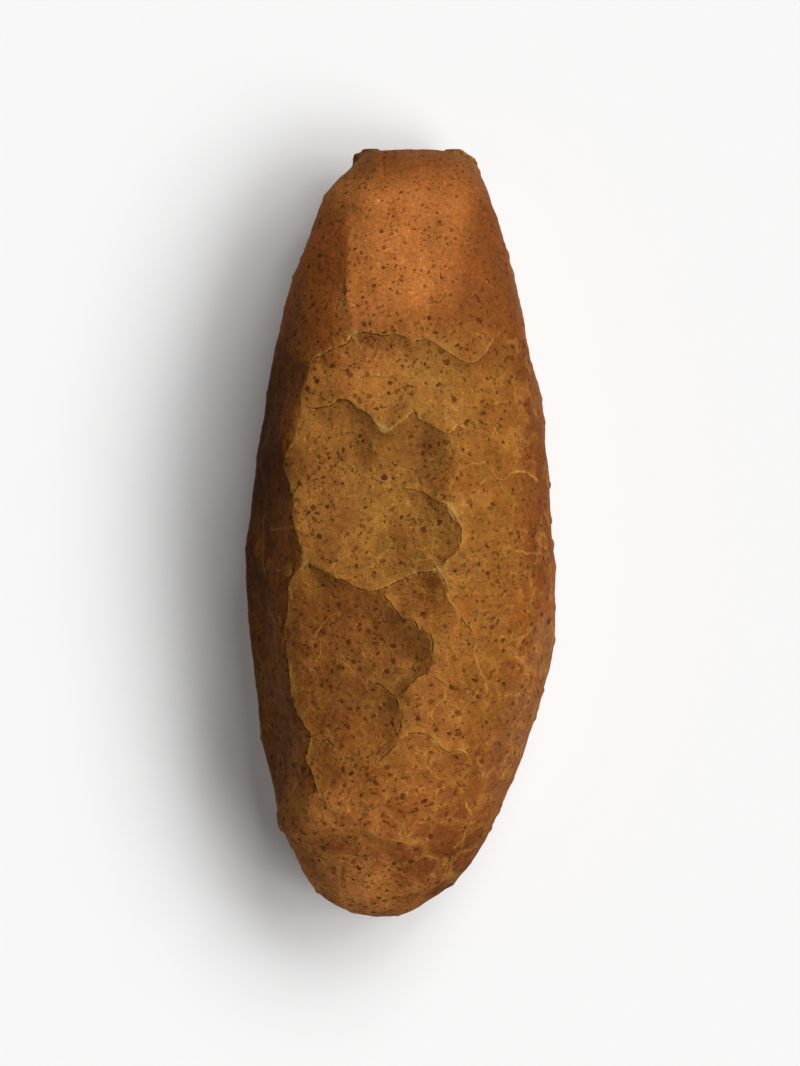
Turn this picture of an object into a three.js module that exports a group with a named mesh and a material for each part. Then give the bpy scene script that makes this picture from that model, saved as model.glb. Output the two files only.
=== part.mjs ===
// A long bran bread loaf, baked as one piece and lying on its flat base.
// Millimetres, +Z up, +Y towards the blunter end, origin on the floor under the middle of the loaf.
import * as THREE from "three";

// Sizes of the loaf
const HALF_WIDTH = 57.2;
const HEIGHT = 74;
const BELLY_HEIGHT = 24;
const FOOT_SHARE = 0.83;
const CROWN_LEAN = 6.5;

// How full the cross-section is: flat over the crest, upright above the belly, tucked in below it.
const CREST_FULLNESS = 0.6;
const FLANK_FULLNESS = 0.66;
const TUCK_START = 0.4;
const TUCK_WIDTH = 0.95;

// Places along the loaf
const WIDEST_Y = -11.4;
const FAR_END_Y = 139.6;
const NEAR_END_Y = -140;

// How each end narrows: a low slope narrows from early on, a high blunt number leaves a wide tip.
// The middle line drifts sideways by the given amount on the way to the tip.
const FAR_TAPER = { reach: FAR_END_Y - WIDEST_Y, slope: 1.15, blunt: 3.1, drift: 3.4 };
const NEAR_TAPER = { reach: WIDEST_Y - NEAR_END_Y, slope: 1.68, blunt: 2.4, drift: -8.3 };

// The +X flank swells and shrinks in one slow wave along the loaf.
const FLANK_WAVE = { height: 1.1, length: 88, peak: 42 };

// Small lumps all over the crust, as a sum of waves in many directions.
const LUMP_HEIGHT = 0.32;
const LUMP_LENGTH = 19;
const LUMP_WAVES = 9;
const LUMP_TURN = 2.4;
const LUMP_TILT = 1.7;
const LUMP_SPREAD = { least: 0.7, step: 0.1 };
const LUMP_FLOOR = 3;
const LUMP_FULL = 16;

// A full shoulder on the near left, where the dough pushed out.
const BULGE = { x: -33, y: -104, height: 4.4, reach: 13, floor: 22, full: 38 };

// Torn ears of crust that stand out low on the far end.
const EAR_HEIGHT = 19;
const EAR_THICKNESS = 9;
const EAR_START_Y = 112;
const EAR_FULL_Y = 128;
const EARS = [
  { x: -12, width: 5, reach: 2.4 },
  { x: 23, width: 5.5, reach: 2.8 },
];

// Lines where the crust cracked and its plates shifted, each drawn with its sunken plate on the left.
// Both plates rise towards the line, and the sunken one falls away beside it and recovers further off.
// A line ends on the crust over its fade lengths, or runs past the outline where they are zero.
// The shift dies out downwards between two heights, which lie lower for the ridges over the left wall.
const PLATE_HEIGHTS = [18, 40];
const WALL_HEIGHTS = [21, 34];
const CRACKS = {
  shoulder: {
    rise: 0.8,
    dip: 2.0,
    spread: 8,
    fade: [14, 0],
    points: [[38, 74], [26, 61], [16, 64], [5, 69], [-8, 71], [-18, 71], [-25, 66], [-34, 62], [-64, 54]],
  },
  crown: {
    rise: 0.9,
    dip: 2.9,
    spread: 16,
    fade: [24, 0],
    points: [
      [9, -44], [15, -32], [17, -22], [14, -14], [20, -7], [22, 1], [19, 8], [15, 14], [18, 22], [19, 29],
      [16, 35], [11, 39], [5, 41], [0, 38], [-6, 33], [-10, 40], [-15, 45], [-22, 48], [-30, 47],
      [-36, 41], [-42, 32], [-66, 22],
    ],
  },
  rightLobe: {
    rise: 0.3,
    dip: 1.7,
    spread: 17,
    fade: [7, 8],
    points: [[15, 14], [18, 22], [19, 29], [16, 35], [11, 39], [5, 41], [0, 38]],
  },
  sideLobe: {
    rise: 0.3,
    dip: 2.2,
    spread: 19,
    fade: [8, 7],
    points: [[17, -22], [14, -14], [20, -7], [22, 1], [19, 8], [13, 13], [4, 16]],
  },
  crownFoot: {
    rise: 1.0,
    dip: 1.6,
    spread: 7,
    fade: [8, 8],
    points: [[14, -14], [4, -16], [-6, -20], [-14, -20], [-24, -16], [-34, -10]],
  },
  lowerPlate: {
    rise: 0.5,
    dip: 4.6,
    spread: 30,
    fade: [0, 0],
    points: [
      [-66, -116], [-34, -100], [-18, -90], [-8, -82], [-2, -75], [0, -66], [3, -57], [9, -51], [12, -44],
      [9, -36], [1, -30], [-6, -24], [-14, -20], [-24, -16], [-36, -10], [-66, -2],
    ],
  },
  lowerSide: {
    rise: 0.6,
    dip: 1.8,
    spread: 8,
    fade: [8, 8],
    points: [[0, -62], [3, -57], [9, -51], [12, -44], [9, -36], [1, -30], [-6, -24], [-14, -20]],
  },
  lowerArc: {
    rise: 0.4,
    dip: 1.0,
    spread: 7,
    fade: [8, 8],
    points: [[-10, -84], [-2, -76], [0, -66], [-3, -58], [-14, -54]],
  },
  nearEnd: {
    rise: 1.6,
    dip: 1.8,
    spread: 7,
    fade: [10, 0],
    points: [[8, -117], [-5, -110], [-15, -107], [-27, -106], [-38, -106], [-60, -104]],
  },
  leftLow: {
    heights: WALL_HEIGHTS,
    rise: 2.6,
    dip: 2.6,
    spread: 9,
    fade: [34, 5],
    points: [[-18, -106], [-32, -94], [-37, -80], [-43, -56], [-47, -37], [-43, -17], [-36, -9]],
  },
  leftMiddle: {
    heights: WALL_HEIGHTS,
    rise: 3.6,
    dip: 2.8,
    spread: 9,
    fade: [5, 8],
    points: [[-36, -11], [-39, 6], [-42, 24], [-37, 44], [-31, 64]],
  },
  leftHigh: {
    rise: 2.0,
    dip: 0.3,
    spread: 9,
    fade: [5, 12],
    points: [[-17, 68], [-19, 90], [-19, 112], [-7, 126]],
  },
};
const LIP_REACH = 8;
const SLOPE_POWER = 1.25;
const CRACK_STEP = 3;

// Cells of the sheet that is drawn over the loaf, and the share of it that covers the dome.
const CELLS_ACROSS = 56;
const CELLS_ALONG = 92;
const DOME_SHARE = 0.88;
const PLATE_WEIGHT = 6;

const { smoothstep, lerp } = THREE.MathUtils;

// Half of the cross-section: the dome from crest to belly, then the tuck from belly to foot.
const dome = new THREE.CubicBezierCurve(
  new THREE.Vector2(0, HEIGHT),
  new THREE.Vector2(CREST_FULLNESS * HALF_WIDTH, HEIGHT),
  new THREE.Vector2(HALF_WIDTH, lerp(BELLY_HEIGHT, HEIGHT, FLANK_FULLNESS)),
  new THREE.Vector2(HALF_WIDTH, BELLY_HEIGHT),
);
const tuck = new THREE.CubicBezierCurve(
  new THREE.Vector2(HALF_WIDTH, BELLY_HEIGHT),
  new THREE.Vector2(HALF_WIDTH, TUCK_START * BELLY_HEIGHT),
  new THREE.Vector2(TUCK_WIDTH * HALF_WIDTH, 0),
  new THREE.Vector2(FOOT_SHARE * HALF_WIDTH, 0),
);

// Outline of the loaf from above at an angle round the widest place.
// Near the crest the contours are oval, and they grow blunter towards the belly.
function outline(angle, share) {
  const taper = Math.sin(angle) > 0 ? FAR_TAPER : NEAR_TAPER;
  const along = Math.abs(Math.sin(angle));
  const blunt = lerp(2, taper.blunt, share ** 3);
  const half = HALF_WIDTH * (1 - along ** taper.slope) ** (1 / blunt);
  const x = Math.sign(Math.cos(angle)) * half + taper.drift * along ** 2;
  const y = Math.sign(Math.sin(angle)) * along * taper.reach;
  return new THREE.Vector2(x, y);
}

// A point of the smooth skin, for a point of a square sheet from -1 to 1 both ways.
function smoothSkin(u, v) {
  const diskX = u * Math.sqrt(1 - (v * v) / 2);
  const diskY = v * Math.sqrt(1 - (u * u) / 2);
  const radius = Math.min(1, Math.hypot(diskX, diskY));
  const onDome = radius <= DOME_SHARE;
  const section = onDome
    ? dome.getPointAt(radius / DOME_SHARE)
    : tuck.getPointAt((radius - DOME_SHARE) / (1 - DOME_SHARE));
  const share = section.x / HALF_WIDTH;
  const plan = outline(Math.atan2(diskY, diskX), share).multiplyScalar(share);
  const y = WIDEST_Y + plan.y;
  const lean = onDome ? CROWN_LEAN * (1 - share ** 2) : 0;
  const turn = (2 * Math.PI * (y - FLANK_WAVE.peak)) / FLANK_WAVE.length;
  const swell = plan.x > 0 ? FLANK_WAVE.height * Math.cos(turn) * (plan.x / HALF_WIDTH) : 0;
  return new THREE.Vector3(plan.x + lean + swell, y, section.y);
}

// Uneven lumps at a place in space, about LUMP_HEIGHT up and down, that die out towards the base.
function lumps(place) {
  let sum = 0;
  for (let wave = 0; wave < LUMP_WAVES; wave++) {
    const turn = wave * LUMP_TURN;
    const tilt = Math.sin(wave * LUMP_TILT);
    const way = new THREE.Vector3(Math.cos(turn), Math.sin(turn), tilt).normalize();
    const length = LUMP_LENGTH * (LUMP_SPREAD.least + LUMP_SPREAD.step * wave);
    sum += Math.sin((way.dot(place) * 2 * Math.PI) / length + wave * wave);
  }
  return (LUMP_HEIGHT * sum * smoothstep(place.z, LUMP_FLOOR, LUMP_FULL)) / Math.sqrt(LUMP_WAVES / 2);
}

// How far the torn ears stand out at a place on the skin.
function ears(place) {
  if (place.y < 0) return 0;
  const band = Math.exp(-(((place.z - EAR_HEIGHT) / EAR_THICKNESS) ** 2));
  const outward = EARS.map((ear) => ear.reach * Math.exp(-(((place.x - ear.x) / ear.width) ** 4)));
  return band * Math.max(...outward) * smoothstep(place.y, EAR_START_Y, EAR_FULL_Y);
}

// How far the full shoulder stands out at a place on the skin.
function bulge(place) {
  const distance = Math.hypot(place.x - BULGE.x, place.y - BULGE.y);
  const swell = Math.exp(-((distance / BULGE.reach) ** 2));
  return BULGE.height * swell * smoothstep(place.z, BULGE.floor, BULGE.full);
}

// Each crack as a chain of short straight pieces with its whole length.
const chains = Object.values(CRACKS).map((crack) => {
  const curve = new THREE.SplineCurve(crack.points.map(([x, y]) => new THREE.Vector2(x, y)));
  const pieces = Math.ceil(curve.getLength() / CRACK_STEP);
  const chain = curve.getSpacedPoints(pieces);
  return { heights: PLATE_HEIGHTS, ...crack, length: curve.getLength(), chain };
});

// Nearest place on a chain: how far it is, how far along, and whether the sunken side is here.
function nearest(chain, length, x, y) {
  const best = { distance: Infinity, along: 0, sunken: false };
  const piece = length / (chain.length - 1);
  for (let i = 0; i + 1 < chain.length; i++) {
    const way = new THREE.Vector2().subVectors(chain[i + 1], chain[i]);
    const from = new THREE.Vector2(x, y).sub(chain[i]);
    const part = THREE.MathUtils.clamp(from.dot(way) / way.lengthSq(), 0, 1);
    const distance = Math.hypot(from.x - part * way.x, from.y - part * way.y);
    if (distance < best.distance) {
      best.distance = distance;
      best.along = (i + part) * piece;
      best.sunken = way.cross(from) > 0;
    }
  }
  return best;
}

// Height of the shifted plates at a place on the upper crust.
function plates(place) {
  let sum = 0;
  for (const { heights, rise, dip, spread, fade, chain, length } of chains) {
    const { distance, along, sunken } = nearest(chain, length, place.x, place.y);
    const ends = smoothstep(along, 0, fade[0]) * smoothstep(length - along, 0, fade[1]);
    const share = ends * smoothstep(place.z, ...heights);
    sum += share * rise * Math.exp(-distance / LIP_REACH);
    const steps = (distance / spread) ** SLOPE_POWER;
    if (sunken) sum -= share * dip * steps * Math.exp(1 - steps);
  }
  return sum;
}

// The sheet laid over the smooth loaf, then lifted and lowered into its uneven crust.
const sheet = new THREE.PlaneGeometry(2, 2, CELLS_ACROSS, CELLS_ALONG);
const points = sheet.getAttribute("position");
for (let i = 0; i < points.count; i++) {
  const place = smoothSkin(points.getX(i), points.getY(i));
  points.setXYZ(i, place.x, place.y, place.z);
}
sheet.computeVertexNormals();
const normals = sheet.getAttribute("normal");
const heights = [];
for (let i = 0; i < points.count; i++) {
  const place = new THREE.Vector3().fromBufferAttribute(points, i);
  const way = new THREE.Vector3().fromBufferAttribute(normals, i);
  const height = plates(place) + bulge(place) + ears(place) + lumps(place);
  heights.push(height);
  place.addScaledVector(way, height);
  points.setXYZ(i, place.x, place.y, place.z);
}

// Each cell is split along the diagonal that is short and follows the plates.
function splitCost(a, b) {
  const from = new THREE.Vector3().fromBufferAttribute(points, a);
  const to = new THREE.Vector3().fromBufferAttribute(points, b);
  return from.distanceTo(to) + PLATE_WEIGHT * Math.abs(heights[a] - heights[b]);
}
const triangles = [];
const across = CELLS_ACROSS + 1;
for (let row = 0; row < CELLS_ALONG; row++) {
  for (let column = 0; column < CELLS_ACROSS; column++) {
    const a = row * across + column;
    const b = a + across;
    const c = b + 1;
    const d = a + 1;
    if (splitCost(a, c) < splitCost(b, d)) {
      triangles.push(a, b, c, a, c, d);
    } else {
      triangles.push(a, b, d, b, c, d);
    }
  }
}

// The flat base closes the edge of the sheet, walked anticlockwise from above.
const edge = [];
for (let column = 0; column < CELLS_ACROSS; column++) {
  edge.push(CELLS_ALONG * across + column);
}
for (let row = CELLS_ALONG; row > 0; row--) {
  edge.push(row * across + CELLS_ACROSS);
}
for (let column = CELLS_ACROSS; column > 0; column--) {
  edge.push(column);
}
for (let row = 0; row < CELLS_ALONG; row++) {
  edge.push(row * across);
}
const rim = edge.map((i) => new THREE.Vector2(points.getX(i), points.getY(i)));
for (const [a, b, c] of THREE.ShapeUtils.triangulateShape(rim, [])) {
  triangles.push(edge[c], edge[b], edge[a]);
}
sheet.setIndex(triangles);

// The middle of the box stands over the origin.
sheet.computeBoundingBox();
const middle = sheet.boundingBox.getCenter(new THREE.Vector3());
sheet.translate(-middle.x, -middle.y, -sheet.boundingBox.min.z);
sheet.computeVertexNormals();

const crust = new THREE.MeshStandardMaterial({ color: 0x9a6030, roughness: 0.85, metalness: 0 });
const loaf = new THREE.Mesh(sheet, crust);
loaf.name = "bran_loaf";

const part = new THREE.Group();
part.add(loaf);

export default part;
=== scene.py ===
# %% [markdown]
# # A bran bread loaf
# The loaf is one long piece of baked dough: a domed, cracked brown crust over a flat base.
# The solid model already holds its true size, its outline and the plates into which the crust broke.
# This lesson dresses that solid: it makes the skin finer, carves the cracks, lays bran in it and bakes
# the colours with procedural materials. Everything is in metres, with the loaf lying along Y.

# %% The frame
import math

import bmesh
import bpy
import numpy as np
from mathutils import Matrix, Vector
from mathutils.bvhtree import BVHTree
from mathutils.kdtree import KDTree


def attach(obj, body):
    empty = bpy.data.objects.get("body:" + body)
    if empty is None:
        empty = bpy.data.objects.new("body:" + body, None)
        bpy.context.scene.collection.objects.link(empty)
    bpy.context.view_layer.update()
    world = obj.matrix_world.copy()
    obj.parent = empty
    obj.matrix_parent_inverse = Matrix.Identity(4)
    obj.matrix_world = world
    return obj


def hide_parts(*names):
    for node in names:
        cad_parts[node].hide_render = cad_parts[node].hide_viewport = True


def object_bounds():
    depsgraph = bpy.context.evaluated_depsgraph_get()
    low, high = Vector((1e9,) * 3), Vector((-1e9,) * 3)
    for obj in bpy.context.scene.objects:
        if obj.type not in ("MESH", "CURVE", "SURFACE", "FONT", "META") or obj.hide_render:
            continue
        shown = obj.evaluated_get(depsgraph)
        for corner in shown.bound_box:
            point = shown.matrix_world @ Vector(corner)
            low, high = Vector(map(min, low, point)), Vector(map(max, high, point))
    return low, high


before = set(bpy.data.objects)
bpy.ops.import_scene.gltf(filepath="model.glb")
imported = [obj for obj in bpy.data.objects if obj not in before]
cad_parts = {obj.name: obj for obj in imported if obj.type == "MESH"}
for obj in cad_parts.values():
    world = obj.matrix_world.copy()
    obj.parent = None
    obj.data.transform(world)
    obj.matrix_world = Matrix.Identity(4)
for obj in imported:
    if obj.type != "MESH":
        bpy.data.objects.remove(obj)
cad_low, cad_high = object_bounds()
MM = 0.001
scene = bpy.context.scene
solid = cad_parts["bran_loaf"]
print("solid loaf", len(solid.data.vertices), "corners, box", list(cad_low), list(cad_high))

# %% [markdown]
# ## Arithmetic that builds nodes
# Node trees get long when every sum is a node that is placed by hand. Here a small class wraps a socket,
# so that ordinary Python arithmetic adds the Math nodes. A second class makes any other node from its
# type, its settings and its sockets. Both work in shader trees and in Geometry Nodes trees.


# %% Sockets and nodes
class Value:
    """One output socket. Arithmetic on it adds Math nodes to its tree."""

    def __init__(self, nodes, socket):
        self.nodes = nodes
        self.socket = socket

    def math(self, operation, first, second=0.0):
        return self.nodes.make("ShaderNodeMath", {"operation": operation}, {0: first, 1: second})

    def __add__(self, other):
        return self.math("ADD", self, other)

    def __radd__(self, other):
        return self.math("ADD", other, self)

    def __sub__(self, other):
        return self.math("SUBTRACT", self, other)

    def __rsub__(self, other):
        return self.math("SUBTRACT", other, self)

    def __mul__(self, other):
        return self.math("MULTIPLY", self, other)

    def __rmul__(self, other):
        return self.math("MULTIPLY", other, self)

    def __truediv__(self, other):
        return self.math("DIVIDE", self, other)

    def __neg__(self):
        return self.math("MULTIPLY", self, -1.0)

    def __abs__(self):
        return self.math("ABSOLUTE", self)

    def exp(self):
        return self.math("EXPONENT", self)

    def above(self, level):
        return self.math("GREATER_THAN", self, level)

    def other(self, name):
        """Another output of the node that this value comes from."""
        return Value(self.nodes, self.socket.node.outputs[name])


class Nodes:
    """Makes nodes in one tree and links their sockets."""

    def __init__(self, tree):
        self.tree = tree

    def make(self, kind, settings=None, sockets=None, out=0):
        node = self.tree.nodes.new(kind)
        for name, setting in (settings or {}).items():
            setattr(node, name, setting)
        for key, value in (sockets or {}).items():
            if isinstance(value, Value):
                self.tree.links.new(value.socket, node.inputs[key])
            else:
                node.inputs[key].default_value = value
        return Value(self, node.outputs[out])

    def smooth(self, value, low, high):
        """0 below low, 1 above high, and an even curve between them."""
        settings = {"interpolation_type": "SMOOTHSTEP"}
        return self.make("ShaderNodeMapRange", settings, {0: value, 1: low, 2: high})

    def vector(self, operation, first, second=None, scale=None, out=0):
        sockets = {0: first}
        if second is not None:
            sockets[1] = second
        if scale is not None:
            sockets["Scale"] = scale
        return self.make("ShaderNodeVectorMath", {"operation": operation}, sockets, out)

    def noise(self, where, size, detail=2.0, out=0):
        sockets = {"Vector": where, "Scale": 1.0 / size, "Detail": detail}
        return self.make("ShaderNodeTexNoise", {}, sockets, out)

    def wander(self, where, *waves):
        """The same place, pushed about by noises one after another, each with its size and its reach."""
        for size, reach in waves:
            push = self.vector("SUBTRACT", self.noise(where, size, 1.0, out=1), (0.5, 0.5, 0.5))
            where = self.vector("ADD", where, self.vector("SCALE", push, scale=2.0 * reach))
        return where

    def part(self, where, axis):
        """One part of a vector: X, Y or Z."""
        return self.make("ShaderNodeSeparateXYZ", {}, {0: where}, out=axis)

    def mix(self, first, second, factor):
        """A colour between the first and the second."""
        return self.make("ShaderNodeMix", {"data_type": "RGBA"}, {0: factor, 6: first, 7: second}, out=2)


def colour(red, green, blue):
    """A colour given in 0 to 255, as the linear values that shaders use."""
    parts = [part / 255 for part in (red, green, blue)]
    linear = [p / 12.92 if p < 0.04045 else ((p + 0.055) / 1.055) ** 2.4 for p in parts]
    return (*linear, 1.0)


print("node helpers ready")

# %% [markdown]
# ## Where the crust cracked
# In the oven the crust sets before the crumb has stopped rising, so it breaks into plates.
# Each crack is drawn here as a few points in millimetres, seen from above, with its sunken plate on the
# left of the line. Cut says how deep and dark it is, drop how far the sunken plate steps down beside it,
# and torn how much pale crumb shows on its lip. A fold has a drop and no cut. A gape is a place where cracks
# meet and more crumb shows: its middle, its reach and how wide it stands open. Four of the cracks border the
# dark wall on the left. A noise pattern could make cracks too, but these have to lie where the plates of
# this loaf meet.

# %% Crack lines
CRACKS = {
    "shoulder": (1.0, 1.0, 0.55, [
        (36, 71.5), (32, 66.5), (30, 63), (26, 60.5), (21, 62), (15.5, 65.5), (11.5, 68),
        (7.5, 69), (4, 68.5), (1, 70), (-3, 71), (-7, 70.5), (-12.5, 71.5), (-17, 70.5), (-19.5, 67.5),
        (-25, 65.5), (-32, 62)]),
    "crown_top": (1.0, 1.0, 0.7, [
        (24, 36.5), (21, 38), (17, 35.5), (11.5, 38), (7, 40.5), (5, 43), (1.5, 40.5), (-3, 37), (-7, 37),
        (-11, 41.5), (-15.5, 44.5), (-19.5, 47.5), (-22.5, 47.5), (-27, 45), (-33.5, 44.8)]),
    "crown_side": (0.8, 0.9, 0.9, [
        (14, -14), (16.5, -10), (20, -6.5), (21.5, -2.5), (21.5, 2.5), (19, 6), (16.5, 10), (12, 11.5),
        (7, 15), (0, 16)]),
    "crown_tail": (0.7, 0.5, 0.9, [(28, -37.5), (25, -34.5), (21, -29), (17, -24), (17, -20), (14, -14)]),
    "crown_foot": (1.0, 0.8, 0.5, [
        (14, -13.5), (9.5, -14), (5.5, -14.5), (0, -17), (-5.5, -19.5), (-10.5, -20.5), (-14.5, -20),
        (-19.5, -17.5), (-25, -15), (-29.5, -13), (-34, -10)]),
    "lower_side": (0.9, 0.6, 0.4, [
        (-1.5, -58), (1.5, -56.5), (4.5, -53), (7, -50.5), (9.5, -50), (11, -46), (11.5, -41.5), (11.5, -38),
        (10, -36), (7, -34), (4, -30.5), (1, -30.5), (-2, -27), (-5.5, -23), (-6, -20)]),
    "lower_fork": (0.6, 0.2, 0.4, [(18, -53.5), (16, -54), (13, -52), (10, -50)]),
    "lower_arc": (0.8, 0.35, 0.3, [
        (-9.5, -83.5), (-7, -81), (-3, -77), (-0.5, -72), (0.5, -65.5), (-1, -61), (-3, -57.5), (-7, -54.5),
        (-10.5, -53.5), (-13.5, -54.5)]),
    "low_ridge": (0.8, 0.3, 0.6, [
        (25, -80), (21, -78), (18, -78.5), (15, -77), (12.5, -74.5), (10, -72), (7, -71.5), (4.5, -71.5),
        (0.5, -73), (-1.5, -74)]),
    "low_hook": (0.5, 0.1, 0.7, [
        (24, -94.5), (19.5, -91), (16.5, -88.5), (13, -88), (10.5, -84.5), (10, -81.5), (12, -78.5)]),
    "left_low": (1.0, 1.0, 0.5, [
        (-29.5, -94), (-32, -86), (-34.5, -82), (-33.5, -77.5), (-32.5, -73), (-35, -69), (-37.8, -63.5),
        (-39.3, -58), (-39.8, -52.5), (-41, -43.5), (-42.3, -38)]),
    "left_tail": (0.4, 0.6, 0.4, [(-17, -103.5), (-21.5, -101), (-25, -98.5), (-28, -95.5), (-29.5, -94)]),
    "left_high": (0.25, 0.6, 0.5, [
        (-42, 24), (-40.5, 29), (-38, 34), (-36.5, 40), (-35.5, 45), (-35.5, 50), (-33, 57), (-32, 62)]),
    "wall_seam": (0.25, 0.2, 0.5, [(-48.5, -17), (-50, -11), (-49.5, -4), (-49.5, 5), (-48, 10)]),
    "wall_cross": (0.2, 0.1, 0.5, [(-49, 3), (-45.5, 1.5), (-42, 1.8), (-39.5, 2.5)]),
    "left_step": (0.7, 1.0, 0.4, [
        (-42.5, -36.5), (-41, -31), (-40.3, -24), (-40, -17.5), (-37, -13.5), (-34, -10)]),
    "left_middle": (0.5, 1.0, 0.9, [
        (-34.5, -9.5), (-36, -3.5), (-38.5, 4), (-38.5, 12), (-40, 18.5), (-42, 24)]),
    "left_fork": (0.7, 0.2, 0.3, [(-34.5, -82), (-37, -82.5), (-39.5, -83)]),
    "left_twig": (0.7, 0.2, 0.4, [(-23, -78), (-26, -74.5), (-29, -74.5), (-32, -73.5)]),
    "near_ridge": (0.3, 0.4, 0.8, [
        (4.5, -116), (4, -113.5), (1, -111), (-5, -110), (-10, -108.5), (-15, -106), (-18.5, -106)]),
    "near_left": (0.6, 0.0, 0.4, [(-26.5, -118.5), (-28.5, -117), (-31, -115.5), (-33.5, -113)]),
    "near_tip": (0.6, 0.0, 0.6, [(-10, -125), (-13.5, -126), (-18, -124.5), (-22.5, -122.5)]),
    "right_top": (0.5, 0.0, 0.4, [(31, 30), (28, 32.5)]),
    "right_long": (0.5, 0.0, 0.6, [
        (51, 18), (45, 21.5), (40.5, 21.5), (38.5, 19), (35.5, 19), (33, 21.5), (31, 24.5)]),
    "right_short": (0.5, 0.0, 0.4, [(40.5, 47), (36, 46.5), (33, 46)]),
    "right_stem": (0.4, 0.0, 0.4, [(21.5, 38), (22, 44), (21.5, 49)]),
    "right_nick": (0.5, 0.0, 0.4, [(28, -10.5), (25, -8), (24, -5)]),
    "right_near": (0.5, 0.0, 0.7, [(28.5, -102.5), (24.5, -107), (23, -110.5), (18.5, -114.5)]),
    "far_nick": (0.5, 0.0, 0.3, [(10.5, 81.5), (14.5, 83), (16.5, 86), (17.5, 88)]),
    "plate_nick": (0.3, 0.0, 0.2, [(-3.5, 55.5), (-8.5, 56), (-13.5, 55.5)]),
    "plate_hair": (0.3, 0.0, 0.3, [(-19.5, -27.5), (-25, -30.5), (-28.5, -34.5), (-31, -38.5)]),
    "stem_fall": (0.4, 0.2, 0.3, [
        (32, 25.5), (30, 25), (27, 24.5), (24.5, 23.5), (22.5, 23), (20.5, 24.5), (19.5, 27), (18.5, 30.5),
        (18, 33.5), (17, 36)]),
    "lobe_edge": (0.2, 0.2, 0.4, [(16.5, 11.5), (17, 14), (18, 17), (19, 19.5), (20.5, 21.5), (22.5, 23)]),
    "right_arc": (0.25, 0.0, 0.3, [(35, 20), (32, 19.5), (29.5, 17.5), (27, 16)]),
    "right_seam": (0.4, 0.0, 0.3, [(52, -8), (48.5, -7.5), (46, -8), (44.5, -7), (42.5, -6.5), (40.5, -7.5)]),
    "right_fall": (0.3, 0.1, 0.4, [
        (27, -37.5), (27.5, -40), (27, -42.5), (28, -46.5), (29.5, -50), (31, -53),
        (31.5, -56.5), (30, -58)]),
    "right_bend": (0.25, 0.3, 0.5, [(46.5, -56.5), (47, -59), (46.5, -62), (44, -64.5), (41.5, -65.5)]),
    "low_stem": (0.35, 0.2, 0.6, [
        (18, -53.5), (16.5, -56.5), (16.5, -59), (14.5, -61), (12, -64), (12, -67.5), (10.5, -71)]),
    "hook_tail": (0.3, 0.1, 0.6, [(24, -94.5), (24, -97.5), (25.5, -100.5), (28, -103)]),
    "near_lip": (0.2, 0.5, 0.6, [(-18, -109.5), (-20, -109), (-23.5, -108), (-26.5, -108), (-29, -109.5)]),
    "near_cross": (0.25, 0.2, 0.6, [(-7, -118.5), (-10, -118), (-12.5, -117), (-16, -117), (-19, -119)]),
    "near_wave": (0.25, 0.1, 0.5, [(14.5, -118), (11.5, -117), (9, -116), (6.5, -117.5), (4.5, -116.5)]),
    "side_nick": (0.5, 0.0, 0.4, [(-39.5, -15), (-43, -14), (-45.5, -13)]),
    "side_hair": (0.4, 0.0, 0.2, [(-44.5, -34), (-47.5, -28), (-49.5, -24)]),
    "far_fold": (0.0, 0.7, 0.0, [(-17.5, 70), (-18.8, 80), (-19.3, 92), (-19, 104), (-18, 116)]),
}
GAPES = {
    "shoulder_end": (-17, 71, 2.5, 0.7),
    "crown_notch": (-7, 37.5, 4.0, 1.0),
    "crown_side": (18, 7.5, 4.0, 0.9),
    "crown_corner": (14.5, -13.5, 3.5, 0.8),
    "left_corner": (-34, -10, 3.5, 0.8),
    "left_slit": (-41, -55, 5.0, 0.4),
    "low_corner": (12.5, -75, 2.5, 0.5),
    "low_end": (21, -78, 2.0, 0.3),
}
WALL_CRACKS = {"left_high", "left_middle", "left_step", "left_low"}
print(len(CRACKS), "cracks and", len(GAPES), "gapes")

# %% [markdown]
# ## A merged copy of the solid
# The solid arrives as loose triangles a few millimetres wide. A copy is merged into one closed skin, its
# triangles are paired into four-sided faces, and one Subdivision Surface level rounds it. The edges of the
# flat base are creased and marked sharp, so that the base stays flat up to its rim. Remeshing would also
# give small faces, but it would wash out the steps between the plates.

# %% The first skin
PAIR_ANGLE = math.radians(50)
BASE_HEIGHT = 0.05 * MM
MERGE_REACH = 0.001 * MM


def mesh_object(name, mesh):
    made = bpy.data.objects.new(name, mesh)
    scene.collection.objects.link(made)
    return made


def work_in_modifiers(piece):
    """Gives the piece the plain mesh that its modifiers make of it."""
    graph = bpy.context.evaluated_depsgraph_get()
    mesh = bpy.data.meshes.new_from_object(piece.evaluated_get(graph))
    old = piece.data
    piece.modifiers.clear()
    piece.data = mesh
    bpy.data.meshes.remove(old)


work = bmesh.new()
work.from_mesh(solid.data)
bmesh.ops.remove_doubles(work, verts=work.verts, dist=MERGE_REACH)
surface = BVHTree.FromBMesh(work)
bmesh.ops.join_triangles(
    work, faces=work.faces, angle_face_threshold=PAIR_ANGLE, angle_shape_threshold=PAIR_ANGLE)
sharpness = work.edges.layers.float.new("crease_edge")
for edge in work.edges:
    on_base = all(corner.co.z < BASE_HEIGHT for corner in edge.verts)
    edge[sharpness] = float(on_base)
    edge.smooth = not on_base
first_skin = bpy.data.meshes.new("crust_skin")
work.to_mesh(first_skin)
work.free()
crust = mesh_object("bran_crust", first_skin)
rounding = crust.modifiers.new("rounding", "SUBSURF")
rounding.levels = 1
rounding.render_levels = 1
work_in_modifiers(crust)
print("first skin", len(crust.data.polygons), "faces")

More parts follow.
